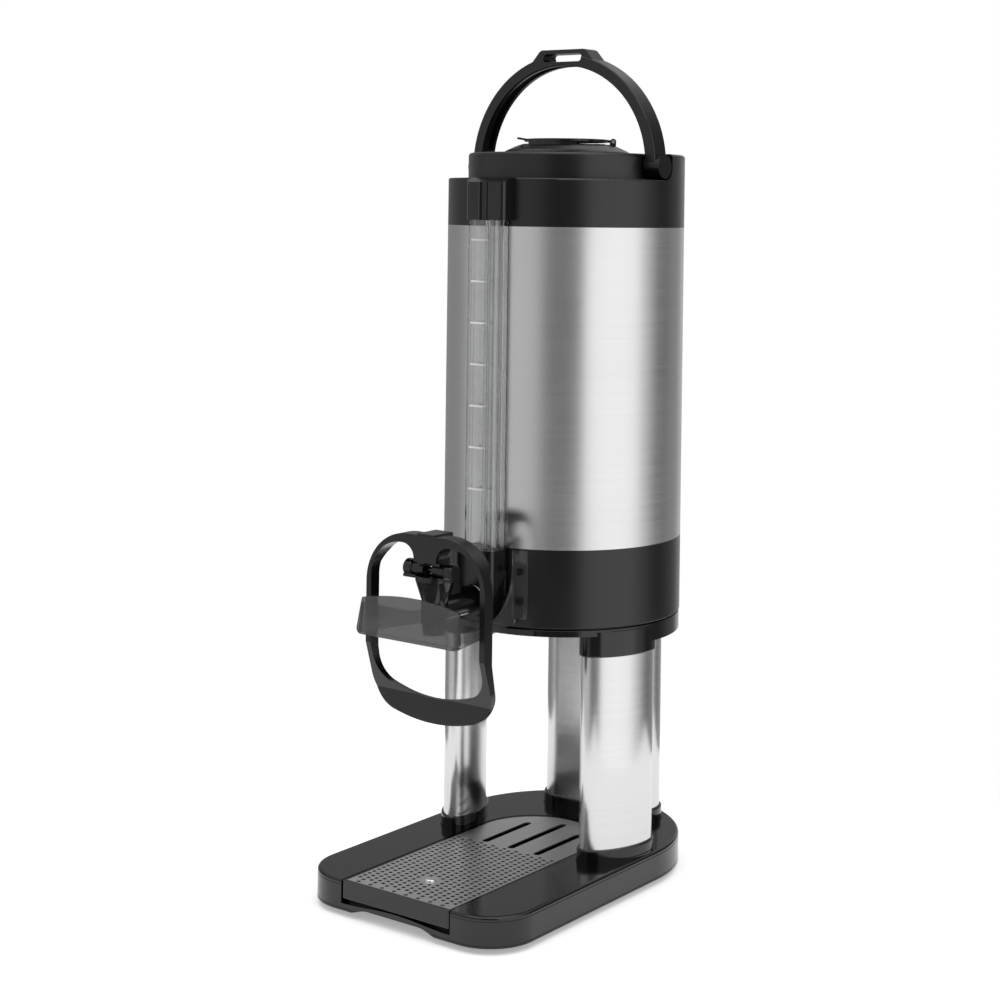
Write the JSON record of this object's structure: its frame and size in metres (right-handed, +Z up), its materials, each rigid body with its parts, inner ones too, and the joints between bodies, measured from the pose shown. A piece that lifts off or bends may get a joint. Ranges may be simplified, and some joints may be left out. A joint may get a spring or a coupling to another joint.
{
  "type": "gravity beverage server",
  "caption": "Tall insulated steel beverage server with bail handle, sight gauge, loop-lever faucet and splash guard, on a three-column stand with a drip tray.",
  "frame": {"origin": "centre of the base's footprint, on the counter", "axes": "+Z up, -Y towards the faucet and the user, +X to the user's right"},
  "size_m": [0.208, 0.319, 0.7],
  "materials": {
    "black_gloss": "polished black moulded plastic",
    "black_matte": "fine matte black moulded plastic",
    "black_satin": "satin black moulded plastic",
    "brushed_shell": "brushed stainless steel",
    "inner_steel": "electropolished stainless steel",
    "grid_steel": "satin perforated stainless steel",
    "polished_steel": "polished stainless steel",
    "zinc_hardware": "plain steel fasteners",
    "rubber_feet": "black rubber",
    "silicone": "translucent white silicone",
    "gauge_glass": "clear glass tube",
    "clear_plastic": "clear moulded plastic",
    "smoked_plastic": "smoked transparent plastic"
  },
  "bodies": {
    "stand": {"base_bottom_plate": "black_matte", "base_housing": "black_gloss", "base_screws": "zinc_hardware", "body_screws": "zinc_hardware", "bracket_screws": "zinc_hardware", "faucet_body": "black_gloss", "faucet_bonnet": "black_gloss", "faucet_gasket": "silicone", "faucet_nut": "zinc_hardware", "gauge_lower_housing": "black_gloss", "gauge_scale": "clear_plastic", "gauge_seal_lower": "silicone", "gauge_seal_upper": "silicone", "gauge_shield": "clear_plastic", "gauge_top_bracket": "black_gloss", "gauge_tube": "gauge_glass", "guard_screws": "black_gloss", "handle_pin_left": "polished_steel", "handle_pin_right": "polished_steel", "inner_liner": "inner_steel", "leg_cap_left": "black_gloss", "leg_cap_rear": "black_gloss", "leg_cap_right": "black_gloss", "leg_left": "brushed_shell", "leg_rear": "brushed_shell", "leg_right": "brushed_shell", "leg_socket_left": "black_gloss", "leg_socket_rear": "black_gloss", "leg_socket_right": "black_gloss", "lever_pin": "black_gloss", "liner_neck": "inner_steel", "liner_spacer": "black_satin", "lower_band": "black_matte", "neck_gasket": "silicone", "outer_shell": "brushed_shell", "outlet_pipe": "inner_steel", "outlet_seal": "silicone", "rubber_feet": "rubber_feet", "splash_guard": "smoked_plastic", "stand_top_plate": "black_gloss", "tie_rod_nuts": "zinc_hardware", "tie_rods": "zinc_hardware", "upper_collar": "black_matte", "vacuum_base": "inner_steel"},
    "bail": {"bail_handle": "black_satin"},
    "lid_seal": {"lid_gasket": "silicone"},
    "lid": {"lid_body": "black_satin", "lid_hinge_pin": "polished_steel", "brew_funnel": "black_satin"},
    "flip_cover": {"lid_flip_cover": "black_satin"},
    "lever": {"faucet_lever": "black_satin"},
    "valve": {"valve_stem": "polished_steel", "seat_cup": "silicone", "valve_spring": "polished_steel"},
    "tray": {"drip_tray": "black_gloss"},
    "grid": {"drip_grid": "grid_steel", "grid_lift_stud": "polished_steel"}
  },
  "joints": [
    {"name": "bail_hinge", "type": "hinge", "parent": "stand", "child": "bail", "pos_m": [0, 0.055, 0.599], "axis": [1, 0, 0], "range_deg": [-4, 90]},
    {"name": "lid_lift", "type": "slide", "parent": "stand", "child": "lid_seal", "axis": [0, 0, 1], "range_m": [0, 0.05]},
    {"name": "lid_turn", "type": "hinge", "parent": "lid_seal", "child": "lid", "pos_m": [0, 0.055, 0.6], "axis": [0, 0, 1], "range_deg": [0, 90]},
    {"name": "cover_flip", "type": "hinge", "parent": "lid", "child": "flip_cover", "pos_m": [0.03155, 0.07877, 0.6211], "axis": [-0.6018, 0.7986, 0], "range_deg": [0, 45]},
    {"name": "lever_tilt", "type": "hinge", "parent": "stand", "child": "lever", "pos_m": [0, -0.1205, 0.2755], "axis": [1, 0, 0], "range_deg": [0, 20], "stiffness_Nm_per_rad": 0.35, "springref_deg": -11.46},
    {"name": "valve_lift", "type": "slide", "parent": "stand", "child": "valve", "axis": [0, 0, 1], "range_m": [0, 0.0018], "deforming": ["valve_spring"]},
    {"name": "tray_slide", "type": "slide", "parent": "stand", "child": "tray", "axis": [0, -1, 0], "range_m": [0, 0.2]},
    {"name": "grid_lift", "type": "slide", "parent": "tray", "child": "grid", "axis": [0, 0, 1], "range_m": [0, 0.03]}
  ],
  "couplings": [
    {"joint": "valve_lift", "follows": "lever_tilt", "m_per_rad": 0.005}
  ]
}
